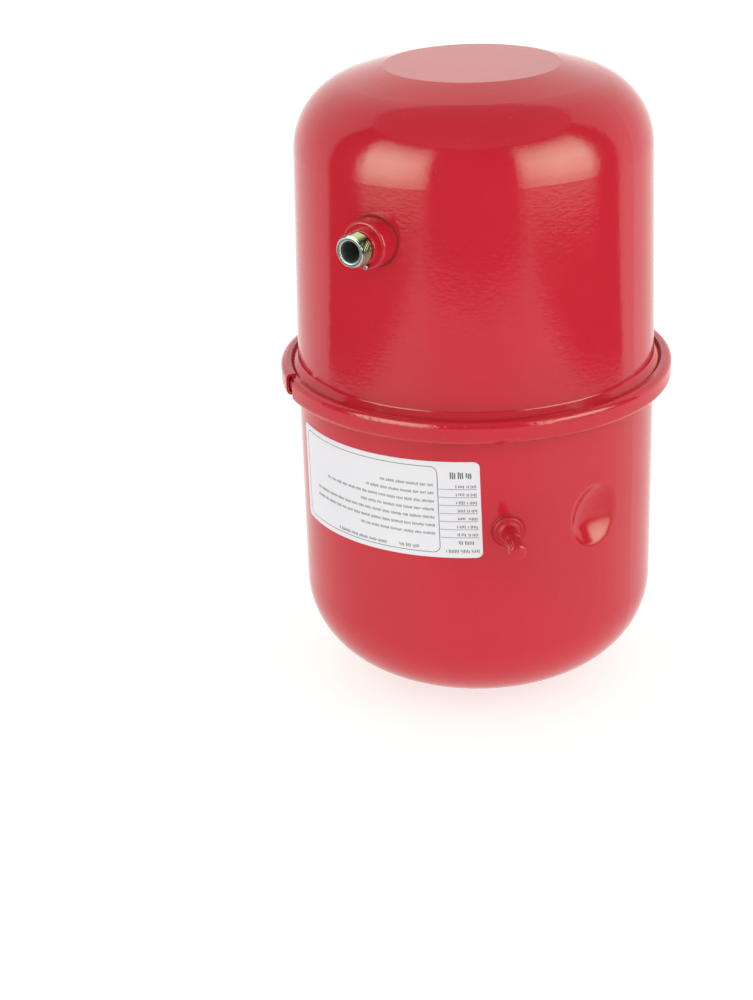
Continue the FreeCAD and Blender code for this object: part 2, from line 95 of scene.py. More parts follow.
# --- Camera and studio, in metres -----------------------------------------------------
CAMERA_PLACE = Vector((0.5570, -0.9197, 0.5788))
CAMERA_AIM = Vector((-0.0472, -0.0321, 0.0973))
CAMERA_ROLL = math.radians(-1.905)
CAMERA_LENS = 74.6
CAMERA_AZIMUTH = 31.2
FLOOR_HALF = 12.0
FLOOR_DROP = 0.0002             # the floor lies this far under the foot
FLOOR_TONE = 0.40
FLOOR_GLOW = (0.68, 0.70, 0.68)
GROUND_LIFT = 0.001             # the dark cards on the ground lie this far over z = 0
SURROUND = 1.2                  # brightness of the white surroundings
SURROUND_COLOUR = (1.0, 1.0, 0.95)
CEILING_BACK = -2.08            # the ceiling's end behind the vessel
CEILING_SHADE = 0.5             # brightness of the part overhead, as diffuse light sees it
CEILING_SHADE_RADIUS = 2.08
DARK_WALL = 0.05                # brightness of the unlit side of the studio
DARK_CEILING = 0.5
TABLE_HALF_WIDTH = 0.62         # the dark ground leaves this part of the floor lit
TABLE_FRONT = 0.95
STUDIO_RADIUS = 2.6
STUDIO_FOOT = -0.5              # the wall's lower edge
STUDIO_HEIGHT = 3.2
DARK_HALF_ANGLE = 100.0         # the unlit side spans this far to each side of the camera
SOFTBOX_INNER = 25.0            # azimuths of a softbox's edges from the camera's
SOFTBOX_OUTER_RIGHT = 83.0
SOFTBOX_OUTER_LEFT = 77.0
SOFTBOX_RADIUS = 1.2
SOFTBOX_FOOT = 0.002
SOFTBOX_HEIGHT = 1.6
SOFTBOX_GLOW = 12.5
SOFTBOX_COLOUR = (0.68, 1.0, 0.74)
# Brightness of a softbox from its inner to its outer edge, and from its foot to its top.
SOFTBOX_SIDEWAYS = ((0.0, 0.0), (0.14, 0.75), (0.5, 1.0), (0.84, 0.85), (1.0, 0.0))
SOFTBOX_UPWARD = (
    (0.0, 0.15), (0.035, 0.19), (0.08, 0.48), (0.22, 0.8),
    (0.44, 1.0), (0.62, 0.75), (0.78, 0.42), (0.95, 0.0),
)
SIDE_LIGHT_POWER = 6.0
SIDE_LIGHT_AZIMUTH = 62.0       # from the camera's
SIDE_LIGHT_ELEVATION = 22.0
SIDE_LIGHT_DISTANCE = 2.4
SIDE_LIGHT_SIZE = 1.4


def direction(azimuth, elevation=0.0):
    """Unit vector at an azimuth and elevation in degrees."""
    turn, rise = math.radians(azimuth), math.radians(elevation)
    flat = math.cos(rise)
    return Vector((math.sin(turn) * flat, -math.cos(turn) * flat, math.sin(rise)))


def add_mesh(name, corners, faces):
    mesh = bpy.data.meshes.new(name)
    mesh.from_pydata([tuple(corner) for corner in corners], [], faces)
    mesh.update()
    piece = bpy.data.objects.new(name, mesh)
    bpy.context.scene.collection.objects.link(piece)
    return piece


def grid_faces(rows, columns, closed=True):
    """Faces over rows of corners; each row is a ring, and closed joins the last to the first."""
    faces = []
    for row in range(rows if closed else rows - 1):
        below = (row + 1) % rows
        for index in range(columns):
            beside = (index + 1) % columns
            faces.append((
                row * columns + index, row * columns + beside,
                below * columns + beside, below * columns + index,
            ))
    return faces


def tidy_mesh(piece, sharp_degrees=40.0):
    """Merge doubled points, turn the faces outwards and smooth what isn't sharp."""
    made = bmesh.new()
    made.from_mesh(piece.data)
    bmesh.ops.remove_doubles(made, verts=made.verts, dist=1e-7)
    bmesh.ops.recalc_face_normals(made, faces=made.faces)
    made.to_mesh(piece.data)
    made.free()
    piece.data.shade_smooth()
    piece.data.set_sharp_from_angle(angle=math.radians(sharp_degrees))
    return piece


# --- Materials ------------------------------------------------------------------------
def new_material(name):
    """A material with a principled shader, and its node tree."""
    material = bpy.data.materials.new(name)
    material.use_nodes = True
    tree = material.node_tree
    return material, tree, tree.nodes["Principled BSDF"]


def object_point(tree, stretch=(1.0, 1.0, 1.0), shift=(0.0, 0.0, 0.0)):
    """The object's own coordinates, stretched and then shifted."""
    place = tree.nodes.new("ShaderNodeTexCoord")
    mapping = tree.nodes.new("ShaderNodeMapping")
    mapping.inputs["Scale"].default_value = stretch
    mapping.inputs["Location"].default_value = shift
    tree.links.new(place.outputs["Object"], mapping.inputs["Vector"])
    return mapping.outputs["Vector"]


def object_noise(tree, scale, detail, stretch=(1.0, 1.0, 1.0)):
    """Noise over the object's own coordinates; scale is in features per metre."""
    noise = tree.nodes.new("ShaderNodeTexNoise")
    noise.inputs["Scale"].default_value = scale
    noise.inputs["Detail"].default_value = detail
    tree.links.new(object_point(tree, stretch), noise.inputs["Vector"])
    return noise.outputs["Fac"]


def vector_length(tree, vector):
    node = tree.nodes.new("ShaderNodeVectorMath")
    node.operation = "LENGTH"
    tree.links.new(vector, node.inputs[0])
    return node.outputs["Value"]


def ramp(tree, source, stops):
    """Colour ramp over a value; stops are (position, colour)."""
    node = tree.nodes.new("ShaderNodeValToRGB")
    elements = node.color_ramp.elements
    while len(elements) < len(stops):
        elements.new(1.0)
    for element, (position, colour) in zip(elements, stops):
        element.position = position
        element.color = (*colour, 1.0)
    tree.links.new(source, node.inputs["Fac"])
    return node.outputs["Color"]


def grey_ramp(tree, source, stops):
    return ramp(tree, source, [(position, (level, level, level)) for position, level in stops])


def value_range(tree, source, low, high, start=0.0, end=1.0):
    """Runs from low to high, within those two, while the source runs from start to end."""
    node = tree.nodes.new("ShaderNodeMapRange")
    node.inputs["From Min"].default_value = start
    node.inputs["From Max"].default_value = end
    node.inputs["To Min"].default_value = low
    node.inputs["To Max"].default_value = high
    tree.links.new(source, node.inputs["Value"])
    return node.outputs["Result"]


def blend_colours(tree, share, first, second):
    node = tree.nodes.new("ShaderNodeMix")
    node.data_type = "RGBA"
    tree.links.new(share, node.inputs["Factor"])
    tree.links.new(first, node.inputs["A"])
    tree.links.new(second, node.inputs["B"])
    return node.outputs["Result"]


def multiply(tree, first, second):
    node = tree.nodes.new("ShaderNodeMath")
    node.operation = "MULTIPLY"
    tree.links.new(first, node.inputs[0])
    tree.links.new(second, node.inputs[1])
    return node.outputs["Value"]


def add_bump(tree, shader, height, depth, under=None):
    """Bump on a shader, on top of another bump when one is given."""
    node = tree.nodes.new("ShaderNodeBump")
    node.inputs["Distance"].default_value = depth
    tree.links.new(height, node.inputs["Height"])
    if under is not None:
        tree.links.new(under, node.inputs["Normal"])
    tree.links.new(node.outputs["Normal"], shader.inputs["Normal"])
    return node.outputs["Normal"]


def paint_colour(tree, shade):
    """Tone of the red paint: cloudy, with a few fine specks of dust under the gloss."""
    dark = (0.480 * shade, 0.0140 * shade, 0.0275 * shade)
    light = (0.525 * shade, 0.0170 * shade, 0.0325 * shade)
    speck = (0.42 * shade, 0.06 * shade, 0.06 * shade)
    cloud = ramp(tree, object_noise(tree, 14.0, 3.0), [(0.3, dark), (0.7, light)])
    dust = object_noise(tree, 700.0, 0.0)
    faint = ramp(tree, dust, [(0.79, dark), (0.85, speck)])
    return blend_colours(tree, grey_ramp(tree, dust, [(0.78, 0.0), (0.86, 0.5)]), cloud, faint)


def orange_peel(tree, shader, depth):
    """Two sizes of ripple, as sprayed powder paint flows out."""
    wide = add_bump(tree, shader, object_noise(tree, 240.0, 1.0), depth * 0.6)
    fine = object_noise(tree, 620.0, 1.0, (0.5, 0.5, 1.0))
    return add_bump(tree, shader, fine, depth, wide)


def paint(name, shade, spots, roughness, peel, gloss):
    """Red paint; roughness is (low, high) over spots per metre, and gloss (socket, value)."""
    material, tree, shader = new_material(name)
    tree.links.new(paint_colour(tree, shade), shader.inputs["Base Color"])
    rough = value_range(tree, object_noise(tree, spots, 2.0), *roughness)
    tree.links.new(rough, shader.inputs["Roughness"])
    orange_peel(tree, shader, peel)
    socket, value = gloss
    shader.inputs[socket].default_value = value
    return material


def shaded_weld_coat(name, shade):
    """The same paint, darkened by shade as a painted shade in the root of a weld, rough and with
    little gloss.
    """
    return paint(name, shade, 900.0, (0.3, 0.5), 0.00004, ("Specular IOR Level", 0.1))


def mottled(name, spots, detail, stops, roughness, marks=None, metallic=0.0):
    """Unevenly toned surface; marks are the (spots, detail, depth) of a fine bump."""
    material, tree, shader = new_material(name)
    mottle = object_noise(tree, spots, detail)
    tree.links.new(ramp(tree, mottle, stops), shader.inputs["Base Color"])
    tree.links.new(value_range(tree, mottle, *roughness), shader.inputs["Roughness"])
    if marks:
        mark_spots, mark_detail, depth = marks
        add_bump(tree, shader, object_noise(tree, mark_spots, mark_detail), depth)
    shader.inputs["Metallic"].default_value = metallic
    return material


def turned_metal(name, first, second, roughness):
    """Bare metal with fine tool marks."""
    tones = [(0.3, first), (0.7, second)]
    return mottled(name, 1100.0, 4.0, tones, roughness, (5200.0, 2.0, 0.000006), 1.0)


def zinc_plating():
    """Yellow-passivated zinc: silver on the end face and the pin, with painted shade darkening
    the thread's roots.
    """
    material, tree, shader = new_material("zinc")
    from_axis = vector_length(
        tree, object_point(tree, (1.0, 0.0, 1.0), (0.0, 0.0, -NOZZLE_Z * MM)),
    )
    # From the bore's wall (0.10) over the thread's root (0.51) and crest (0.66) to the pin; the
    # near-black at the root is a painted shade in the thread's grooves.
    side = ramp(tree, value_range(tree, from_axis, 0.0, 1.0, 0.005, 0.010), [
        (0.10, (0.36, 0.35, 0.35)), (0.30, (0.22, 0.21, 0.20)), (0.51, (0.030, 0.026, 0.016)),
        (0.655, (0.30, 0.22, 0.16)), (0.75, (0.30, 0.22, 0.16)), (0.85, (0.46, 0.42, 0.44)),
    ])
    mottle = object_noise(tree, 1300.0, 4.0)
    silver = ramp(tree, mottle, [(0.3, (0.46, 0.41, 0.44)), (0.7, (0.52, 0.47, 0.50))])
    parts = tree.nodes.new("ShaderNodeSeparateXYZ")
    tree.links.new(object_point(tree), parts.inputs["Vector"])
    end_face = value_range(
        tree, parts.outputs["Y"], 0.0, 1.0, (1.0 - NOZZLE_END) * MM, (0.7 - NOZZLE_END) * MM,
    )
    tree.links.new(blend_colours(tree, end_face, side, silver), shader.inputs["Base Color"])
    roughness = value_range(
        tree, from_axis, 0.5, 0.18, (NOZZLE_BORE_R + 0.2) * MM, (NOZZLE_BORE_R + 0.6) * MM,
    )
    tree.links.new(roughness, shader.inputs["Roughness"])
    add_bump(tree, shader, object_noise(tree, 5200.0, 2.0), 0.000003)
    shader.inputs["Metallic"].default_value = 1.0
    return material


def membrane_rubber():
    """Rubber, except the bead's edge in the ring's gap, which the paint has reached; that paint
    is darkened as a painted shade inside the gap.
    """
    material, tree, shader = new_material("membrane_rubber")
    black = ramp(tree, object_noise(tree, 90.0, 5.0), RUBBER_TONES)
    from_axis = vector_length(tree, object_point(tree, (1.0, 1.0, 0.0)))
    painted = value_range(
        tree, from_axis, 0.0, 1.0, (BEAD_OUT_R - 4.0) * MM, (BEAD_OUT_R - 3.4) * MM,
    )
    # The paint on the bead's edge is darkened to 0.6 of the red, a painted shade for the inside
    # of the ring's gap.
    colour = blend_colours(tree, painted, black, paint_colour(tree, 0.6))
    tree.links.new(colour, shader.inputs["Base Color"])
    tree.links.new(value_range(tree, painted, 0.65, 0.3), shader.inputs["Roughness"])
    add_bump(tree, shader, object_noise(tree, 1500.0, 3.0), 0.00003)
    return material


# Tones of the mottled materials, as (position, colour) stops of a ramp.
RUBBER_TONES = [(0.35, (0.018, 0.018, 0.019)), (0.75, (0.055, 0.055, 0.055))]
PLASTIC_TONES = [(0.3, (0.78, 0.77, 0.72)), (0.7, (0.88, 0.87, 0.83))]
FILM_TONES = [(0.2, (0.685, 0.655, 0.715)), (0.8, (0.715, 0.685, 0.745))]
INK_TONES = [(0.3, (0.05, 0.05, 0.055)), (0.75, (0.12, 0.12, 0.125))]

MATERIALS = {
    "red_paint": paint("red_paint", 1.0, 60.0, (0.085, 0.15), 0.000042, ("IOR", 1.38)),
    "zinc": zinc_plating(),
    "rubber": mottled("rubber", 90.0, 5.0, RUBBER_TONES, (0.55, 0.75), (1500.0, 3.0, 0.00003)),
    "brass": turned_metal("brass", (0.66, 0.48, 0.20), (0.80, 0.62, 0.30), (0.2, 0.34)),
    "seal_plastic": mottled(
        "seal_plastic", 700.0, 3.0, PLASTIC_TONES, (0.4, 0.55), (3000.0, 2.0, 0.00001),
    ),
    "spring_steel": turned_metal(
        "spring_steel", (0.50, 0.50, 0.50), (0.66, 0.66, 0.65), (0.22, 0.36),
    ),
    "label": mottled(
        "label_film", 25.0, 2.0, FILM_TONES, (0.32, 0.42), (160.0, 1.0, 0.00002),
    ),
}
# The welds' paint is darkened, a painted shade where each piece meets the wall; it is darker at
# the boss than at the valve.
BOSS_WELD_SHADED_RED = shaded_weld_coat("boss_weld_shaded_red", 0.5)
VALVE_WELD_SHADED_RED = shaded_weld_coat("valve_weld_shaded_red", 0.75)
# Thicker, duller paint, as in the corner between the valve's flange and its neck.
STEM_PAINT = paint("stem_paint", 0.95, 300.0, (0.3, 0.5), 0.00016, ("IOR", 1.25))
LABEL_INK = mottled("label_ink", 2600.0, 2.0, INK_TONES, (0.4, 0.5))
MEMBRANE_RUBBER = membrane_rubber()

for part in frame["record"]["subparts"]:
    node = frame["nodes"][part["node"]]
    node.data.materials.clear()
    node.data.materials.append(MATERIALS[part["material_slot"]])


def finished(piece, material, node=None, body="vessel"):
    """Give a new piece its material and body, and hide the CAD node that it stands for."""
    piece.data.materials.append(material)
    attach(piece, body)
    if node:
        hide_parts(node)
    return piece


# --- Turned pieces ---------------------------------------------------------------------
def softened(outline, radius):
    """The outline with each corner rounded, as far as its two sides allow.

    Points on the axis and nearly straight corners stay as they are.
    """
    side_share, nearly_straight = 0.4, math.radians(165.0)
    points = [Vector(point) for point in outline]
    result = []
    for index, corner in enumerate(points):
        before, after = points[index - 1], points[(index + 1) % len(points)]
        to_before, to_after = before - corner, after - corner
        cut = min(radius, side_share * to_before.length, side_share * to_after.length)
        if corner.x == 0.0 or to_before.angle(to_after) > nearly_straight:
            result.append(corner)
            continue
        first = corner + to_before.normalized() * cut
        last = corner + to_after.normalized() * cut
        for share in (0.0, 0.33, 0.67, 1.0):
            result.append(first.lerp(corner, share).lerp(corner.lerp(last, share), share))
    return result


def divided(outline, step):
    """The outline with its long sides cut into steps."""
    result = []
    for index, start in enumerate(outline):
        end = outline[(index + 1) % len(outline)]
        count = max(1, math.ceil((end - start).length / step))
        result.extend(start.lerp(end, share / count) for share in range(count))
    return result


def turned(name, outline, edge, step, azimuth, base, height, segments, shape):
    """Turned piece on a horizontal axis; outline is a closed loop of (radius, length).

    Its corners are rounded to the radius edge, and its sides are cut into steps.
    shape(radius, length, turn) gives the radius at each point; turn runs from 0 to 1.
    """
    away, across, upward = direction(azimuth), direction(azimuth + 90.0), Vector((0, 0, 1))
    start = away * base + upward * height
    loop = divided(softened(outline, edge), step)
    corners = []
    for radius, length in loop:
        for index in range(segments):
            turn = index / segments
            angle = 2.0 * math.pi * turn
            reach = shape(radius, length, turn)
            aside = across * (reach * math.cos(angle)) + upward * (reach * math.sin(angle))
            corners.append((start + away * length + aside) * MM)
    return tidy_mesh(add_mesh(name, corners, grid_faces(len(loop), segments)))


def groove(length, turn, pitch):
    """Depth of a right-hand thread, from 0 on its crest to 1 in its root."""
    phase = (length / pitch - turn) % 1.0
    return 0.5 - 0.5 * math.cos(2.0 * math.pi * phase)


def make_water_nozzle():
    thread_r, pitch, depth, thread_start = 8.33, 1.337, 0.82, 109.2
    bore_r, shank_r, inner_end, end = NOZZLE_BORE_R, 6.98, 94.6, NOZZLE_END

    def shape(radius, length, turn):
        if length < thread_start or radius < shank_r:
            return radius
        return min(radius, thread_r - depth * groove(length, turn, pitch))

    piece = turned("nozzle_threaded", [
        (bore_r, inner_end), (shank_r, inner_end), (shank_r, 109.0), (7.4, 109.0),
        (7.4, 109.7), (thread_r, 110.2), (thread_r, end - 0.9), (thread_r - 0.9, end),
        (bore_r + 0.5, end), (bore_r, end - 0.5),
    ], edge=0.12, step=0.11, azimuth=0.0, base=0.0, height=NOZZLE_Z, segments=120, shape=shape)
    finished(piece, MATERIALS["zinc"], "water_nozzle")


VALVE_AXIS = {"azimuth": VALVE_AZIMUTH, "base": WALL_R, "height": VALVE_Z}


def make_valve_stem():
    thread_r, pitch, depth, thread_start = 3.87, 0.794, 0.42, 13.1
    inside_r = 3.3                  # the surfaces below this radius carry no thread

    def shape(radius, length, turn):
        if length < thread_start or radius < inside_r:
            return radius
        return min(radius, thread_r - depth * groove(length, turn, pitch))

    piece = turned("stem_threaded", [
        (1.4, -3.2), (4.0, -3.2), (4.0, -0.9), (VALVE_FLANGE_R, -0.9), (VALVE_FLANGE_R, 1.6),
        (7.3, 2.5), (5.8, 2.5), (4.2, 4.1), (4.2, 12.2), (3.4, 12.2), (3.4, 13.0),
        (thread_r, 13.4), (thread_r, 25.5), (3.37, 26.0), (2.65, 26.0), (2.65, 17.8),
        (1.95, 16.4), (1.95, 6.0), (1.4, 6.0),
    ], edge=0.5, step=0.09, **VALVE_AXIS, segments=96, shape=shape)
    finished(piece, STEM_PAINT, "valve_stem")


def make_valve_cap():
    collar_r, out_r, bore_r, pip_r = 4.85, 4.4, 3.93, 0.9
    mouth, collar_end, thread_end, end = 12.9, 15.2, 26.0, 28.3
    pitch, thread_depth = 0.794, 0.1
    flutes, flute_depth, flute_power = 22, 0.27, 1.5
    grip_start, grip_end, fade = 15.5, 27.0, 0.4

    def shape(radius, length, turn):
        if abs(radius - out_r) < 0.02:
            into = min(1.0, max(0.0, min(length - grip_start, grip_end - length) / fade))
            wave = abs(math.sin(math.pi * flutes * turn)) ** flute_power
            return radius - into * flute_depth * wave
        if abs(radius - bore_r) < 0.01 and length < thread_end:
            return radius + thread_depth * groove(length, turn, pitch)
        return radius

    piece = turned("cap_ribbed", [
        (bore_r, mouth), (collar_r, mouth), (collar_r, collar_end), (out_r, collar_end),
        (out_r, end - 1.3), (out_r - 0.4, end - 0.5), (2.6, end - 0.08), (pip_r, end),
        (pip_r, end + 0.35), (0.0, end + 0.35), (0.0, 27.3), (3.3, 27.3), (3.3, 26.5),
        (bore_r, 26.5),
    ], edge=0.55, step=0.14, **VALVE_AXIS, segments=10 * flutes, shape=shape)
    finished(piece, MATERIALS["red_paint"], "valve_cap", "cap")


# --- Welds -------------------------------------------------------------------------------
def upper_wall_radius(height):
    """Outer radius of the water-side wall at a height above the floor."""
    return WALL_R + (FLARE_START - (height - RING_Z)) * math.tan(UPPER_DRAFT)


def lower_wall_radius(height):
    """The same for the gas side, whose wall is a plain cylinder."""
    return WALL_R


def make_weld(name, node, material, azimuth, height, radius, wall_radius, ripples):
    """Bead around a round piece: its foot follows the wall, and its top shows each ripple."""
    away, across = direction(azimuth), direction(azimuth + 90.0)
    segments, steps, root = ripples * 8, 6, 0.3
    ripple_depth, hollow, narrowing = 0.22, 1.7, 0.1
    corners = []
    for index in range(segments):
        turn = index / segments
        angle = 2.0 * math.pi * turn
        ripple = 1.0 - ripple_depth * ((ripples * turn) % 1.0)
        shares = [step / steps for step in range(steps + 1)]
        section = [(share, WELD_HEIGHT * ripple * (1.0 - share) ** hollow) for share in shares]
        section += [(1.0, -root), (0.0, -root)]
        for share, lift in section:
            reach = radius + WELD_WIDTH * share * (1.0 - narrowing + narrowing * ripple)
            aside = reach * math.cos(angle)
            level = height + reach * math.sin(angle)
            ahead = math.sqrt(wall_radius(level) ** 2 - aside ** 2) + lift
            corners.append((away * ahead + across * aside + Vector((0, 0, level))) * MM)
    faces = grid_faces(segments, len(section))
    piece = tidy_mesh(add_mesh(name, corners, faces), sharp_degrees=60.0)
    finished(piece, material, node)


# --- Pieces inside --------------------------------------------------------------------------
def make_core_spring():
    """Wire spring with closed ends, which shortens as the core's pin is pressed."""
    away, across = direction(VALVE_AZIMUTH), direction(VALVE_AZIMUTH + 90.0)
    upward = Vector((0, 0, 1))
    start = away * WALL_R + upward * VALVE_Z
    steps, around = int(SPRING_TURNS * 36), 12
    closing = 0.04                  # how far the coils close up at both ends
    corners = []
    for step in range(steps + 1):
        share = step / steps
        angle = 2.0 * math.pi * SPRING_TURNS * share
        outward = across * math.cos(angle) + upward * math.sin(angle)
        rise = share - math.sin(2.0 * math.pi * share) * closing
        along = SPRING_LOW + (SPRING_HIGH - SPRING_LOW) * rise
        middle = start + away * along + outward * SPRING_R
        for index in range(around):
            turn = 2.0 * math.pi * index / around
            offset = outward * math.cos(turn) + away * math.sin(turn)
            corners.append((middle + offset * SPRING_WIRE_R) * MM)
    faces = grid_faces(steps + 1, around, closed=False)
    faces.append(tuple(reversed(range(around))))
    faces.append(tuple(steps * around + index for index in range(around)))
    piece = tidy_mesh(add_mesh("spring_wire", corners, faces), sharp_degrees=50.0)
    finished(piece, MATERIALS["spring_steel"], "core_spring")
    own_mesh(piece)


def head_side(inset):
    """The water side from the joint to the axis, inset from the shell's outer surface.

    The points are (radius, height over the joint).
    """
    knuckle_steps, crown_steps = 18, 6
    crown_z = UPPER_HEIGHT - math.sqrt(UPPER_CROWN_R ** 2 - UPPER_FLAT_R ** 2)
    wall_offset = WALL_R * math.cos(UPPER_DRAFT) + FLARE_START * math.sin(UPPER_DRAFT)
    reach = UPPER_CROWN_R - UPPER_KNUCKLE_R
    leant = wall_offset - UPPER_KNUCKLE_R - crown_z * math.sin(UPPER_DRAFT)
    lean = math.asin(leant / reach) - UPPER_DRAFT
    knuckle = Vector((reach * math.sin(lean), crown_z + reach * math.cos(lean)))
    side = [Vector((radius + MEMBRANE_INSET - inset, level)) for radius, level in MEMBRANE_FOOT]
    turn_end = 0.5 * math.pi - lean
    for step in range(knuckle_steps + 1):
        angle = UPPER_DRAFT + (turn_end - UPPER_DRAFT) * step / knuckle_steps
        around = Vector((math.cos(angle), math.sin(angle)))
        side.append(knuckle + around * (UPPER_KNUCKLE_R - inset))
    top = UPPER_HEIGHT - inset
    flat_angle = math.asin((top - crown_z) / (UPPER_CROWN_R - inset))
    for step in range(1, crown_steps + 1):
        angle = turn_end + (flat_angle - turn_end) * step / crown_steps
        around = Vector((math.cos(angle), math.sin(angle)))
        side.append(Vector((0.0, crown_z)) + around * (UPPER_CROWN_R - inset))
    side.append(Vector((0.0, top)))
    return side


def make_diaphragm():
    """Moulded membrane lying against the water side, with a clamped bead at its rim."""
    segments, step = 168, 2.5
    ribs, rib_height, rib_power = 14, 0.35, 8
    rib_low, rib_high, rib_inner_r = 20.0, 150.0, 60.0
    bevel = 1.2                     # on the bead's outer corners
    half_bevel = 0.35 * bevel
    bead = [
        Vector((BEAD_IN_R, -BEAD_HALF_HEIGHT)),
        Vector((BEAD_OUT_R - bevel, -BEAD_HALF_HEIGHT)),
        Vector((BEAD_OUT_R - half_bevel, half_bevel - BEAD_HALF_HEIGHT)),
        Vector((BEAD_OUT_R, bevel - BEAD_HALF_HEIGHT)),
        Vector((BEAD_OUT_R, BEAD_HALF_HEIGHT - bevel)),
        Vector((BEAD_OUT_R - half_bevel, BEAD_HALF_HEIGHT - half_bevel)),
        Vector((BEAD_OUT_R - bevel, BEAD_HALF_HEIGHT)),
    ]
    outer = head_side(MEMBRANE_INSET)
    inner = list(reversed(head_side(MEMBRANE_INSET + MEMBRANE_THICKNESS)))
    outline = divided(bead + outer + inner, step)
    corners = []
    for radius, level in outline:
        ribbed = rib_low < level < rib_high and radius > rib_inner_r
        for index in range(segments):
            angle = 2.0 * math.pi * index / segments
            here = radius
            if ribbed:
                here -= rib_height * max(0.0, math.cos(ribs * angle)) ** rib_power
            place = Vector((here * math.cos(angle), here * math.sin(angle), RING_Z + level))
            corners.append(place * MM)
    faces = grid_faces(len(outline), segments)
    piece = tidy_mesh(add_mesh("membrane", corners, faces), sharp_degrees=50.0)
    finished(piece, MEMBRANE_RUBBER, "diaphragm")
    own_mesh(piece)


# --- Print on the label ----------------------------------------------------------------------
INK_THICKNESS = 0.03
INK_STEP = 2.5                  # longest straight piece of a ribbon on the curved label
FRAME_LEFT, FRAME_RIGHT = -54.2, 38.3
FRAME_LOW, FRAME_HIGH = -24.4, 24.3
FRAME_CORNER = 3.6
FRAME_WIDTH, RULE_WIDTH = 0.34, 0.26
ROW_PITCH = 4.58
RULE_LEFT, RULE_RIGHT, RULE_TOP = 38.8, 56.2, 11.9
VALUE_COLUMN = (46.4, 50.4)     # left and right ends of the strokes over each rule
UNIT_COLUMN = (51.9, 55.7)
ROW_RIGHT, ROW_TOP = 35.9, 13.9
# Where each row of small print starts: it runs from here to ROW_RIGHT.
ROW_STARTS = (6.7, -2.5, -33.1, -6.6, -43.4, -43.7, -7.7)
# The other rows of strokes, as the arguments of Print.scribble.
OTHER_ROWS = (
    (43.6, 53.8, 19.7, 4.0, 0.95, (1.7, 2.6), 0.75, 0.6),
    (47.3, 53.8, -18.6, 2.2, 0.72, (3.0, 6.5), 0.6),
    (41.2, 56.0, -23.4, 2.2, 0.72, (3.0, 5.0), 0.6),
    (-25.2, 8.5, -22.3, 1.7, 0.62, (3.0, 8.0), 0.8),
    (16.2, 27.2, -21.8, 2.3, 0.72, (2.6, 3.4), 0.9),
)


def on_label(aside, level, lift):
    """A point on the label; aside and level are measured from its middle, before its tilt."""
    across = aside * math.cos(LABEL_TILT) - level * math.sin(LABEL_TILT)
    up = aside * math.sin(LABEL_TILT) + level * math.cos(LABEL_TILT)
    radius = LABEL_FACE_R + lift
    azimuth = LABEL_AZIMUTH + math.degrees(math.asin(across / LABEL_FACE_R))
    return (direction(azimuth) * radius + Vector((0, 0, LABEL_Z + up))) * MM


class Print:
    """Printed marks, gathered into one thin piece."""

    def __init__(self):
        self.corners = []
        self.faces = []

    def strip(self, path, width):
        """A thin closed ribbon of ink along a path of (aside, level) points."""
        first = len(self.corners)
        for index, point in enumerate(path):
            ahead = path[min(index + 1, len(path) - 1)] - path[max(index - 1, 0)]
            side = Vector((-ahead.y, ahead.x)).normalized() * (0.5 * width)
            for share, lift in (
                (1.0, 0.0), (1.0, INK_THICKNESS), (-1.0, INK_THICKNESS), (-1.0, 0.0),
            ):
                spot = point + side * share
                self.corners.append(on_label(spot.x, spot.y, lift))
        for index in range(len(path) - 1):
            here = first + 4 * index
            for edge in range(4):
                beside = (edge + 1) % 4
                self.faces.append((
                    here + edge, here + beside, here + 4 + beside, here + 4 + edge,
                ))
        last = first + 4 * (len(path) - 1)
        self.faces.append((first, first + 1, first + 2, first + 3))
        self.faces.append((last + 3, last + 2, last + 1, last))

    def bar(self, left, right, level, width):
        """A level line of ink."""
        count = max(1, math.ceil((right - left) / INK_STEP))
        along = [left + (right - left) * i / count for i in range(count + 1)]
        self.strip([Vector((aside, level)) for aside in along], width)

    def scribble(self, left, right, level, height, pitch, word, gap, weight=0.48):
        """A row of uneven upright strokes, which stands for print without being any writing.

        word is the shortest and longest run of strokes, and weight a stroke's share of the pitch.
        """
        place = right
        while place > left:
            stop = max(left, place - random.uniform(*word))
            while place > stop:
                tall = height * random.uniform(0.65, 1.0)
                foot = Vector((place, level - 0.5 * height + random.uniform(0.0, height - tall)))
                lean = Vector((pitch * random.uniform(-0.12, 0.12), tall))
                self.strip([foot, foot + lean], weight * pitch)
                place -= pitch
            place -= gap

    def frame(self):
        """Thin rounded frame around the label's left panel."""
        path = []
        for turn, (x, y) in enumerate((
            (FRAME_RIGHT, FRAME_HIGH), (FRAME_LEFT, FRAME_HIGH),
            (FRAME_LEFT, FRAME_LOW), (FRAME_RIGHT, FRAME_LOW),
        )):
            inward = Vector((-1 if x > 0 else 1, -1 if y > 0 else 1)) * FRAME_CORNER
            centre = Vector((x, y)) + inward
            for step in range(7):
                angle = math.radians(90.0 * turn + 15.0 * step)
                path.append(centre + Vector((math.cos(angle), math.sin(angle))) * FRAME_CORNER)
        path.append(path[0].copy())
        dense = []
        for start, end in zip(path, path[1:]):
            count = max(1, math.ceil((end - start).length / INK_STEP))
            dense.extend(start.lerp(end, i / count) for i in range(count))
        dense.append(path[0].copy())
        self.strip(dense, FRAME_WIDTH)


def make_label_print():
    random.seed(9)
    ink = Print()
    ink.frame()
    for row, row_start in enumerate(ROW_STARTS):
        rule = RULE_TOP - ROW_PITCH * row
        level = ROW_TOP - ROW_PITCH * row
        ink.bar(RULE_LEFT, RULE_RIGHT, rule, RULE_WIDTH)
        ink.scribble(*VALUE_COLUMN, rule + 1.6, 2.0, 0.72, (1.5, 3.6), 0.5)
        ink.scribble(*UNIT_COLUMN, rule + 1.5, 1.9, 0.66, (2.0, 3.6), 0.5)
        ink.scribble(row_start, ROW_RIGHT, level, 1.6, 0.62, (2.5, 6.5), 0.75)
    for row in OTHER_ROWS:
        ink.scribble(*row)
    piece = add_mesh("label_print", ink.corners, ink.faces)
    finished(piece, LABEL_INK)


